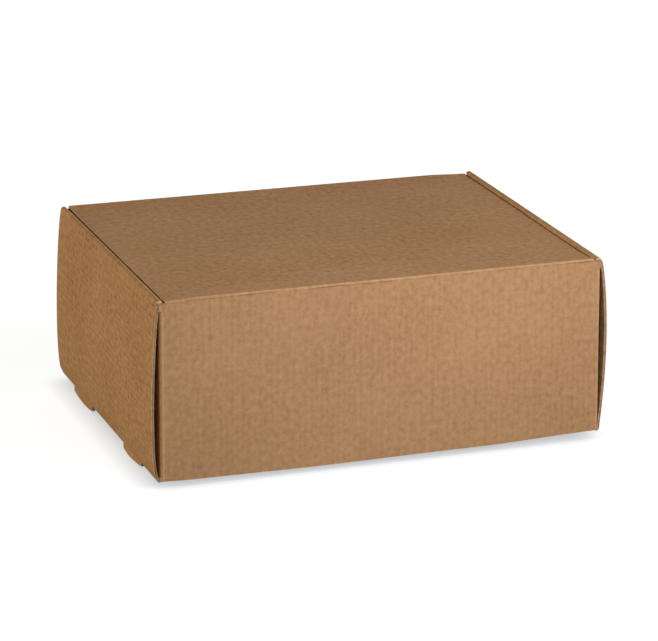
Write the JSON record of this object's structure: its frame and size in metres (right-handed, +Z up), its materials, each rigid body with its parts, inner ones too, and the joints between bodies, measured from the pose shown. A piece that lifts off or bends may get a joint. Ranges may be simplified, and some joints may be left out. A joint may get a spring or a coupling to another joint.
{
  "type": "closed corrugated cardboard mailing box",
  "caption": "Closed brown corrugated mailing box with rolled-over side walls, a hinged lid between them and a full-height front flap whose ears tuck into the sides.",
  "frame": {"origin": "centre of the footprint, on the surface that the four feet stand on", "axes": "+X along the width, -Y out of the front flap's face, +Z up"},
  "size_m": [0.2812, 0.2074, 0.113],
  "materials": {
    "kraft_board": "matte unprinted brown kraft liner on fluted board"
  },
  "bodies": {
    "tray": {"tray": "kraft_board"},
    "lid": {"lid": "kraft_board"},
    "front_flap": {"front_flap": "kraft_board"}
  },
  "joints": [
    {"name": "lid_hinge", "type": "hinge", "parent": "tray", "child": "lid", "pos_m": [0, 0.103, 0.11175], "axis": [-1, 0, 0], "range_deg": [0, 180]},
    {"name": "flap_hinge", "type": "hinge", "parent": "lid", "child": "front_flap", "pos_m": [0, -0.103, 0.11175], "axis": [-1, 0, 0], "range_deg": [0, 90]}
  ]
}
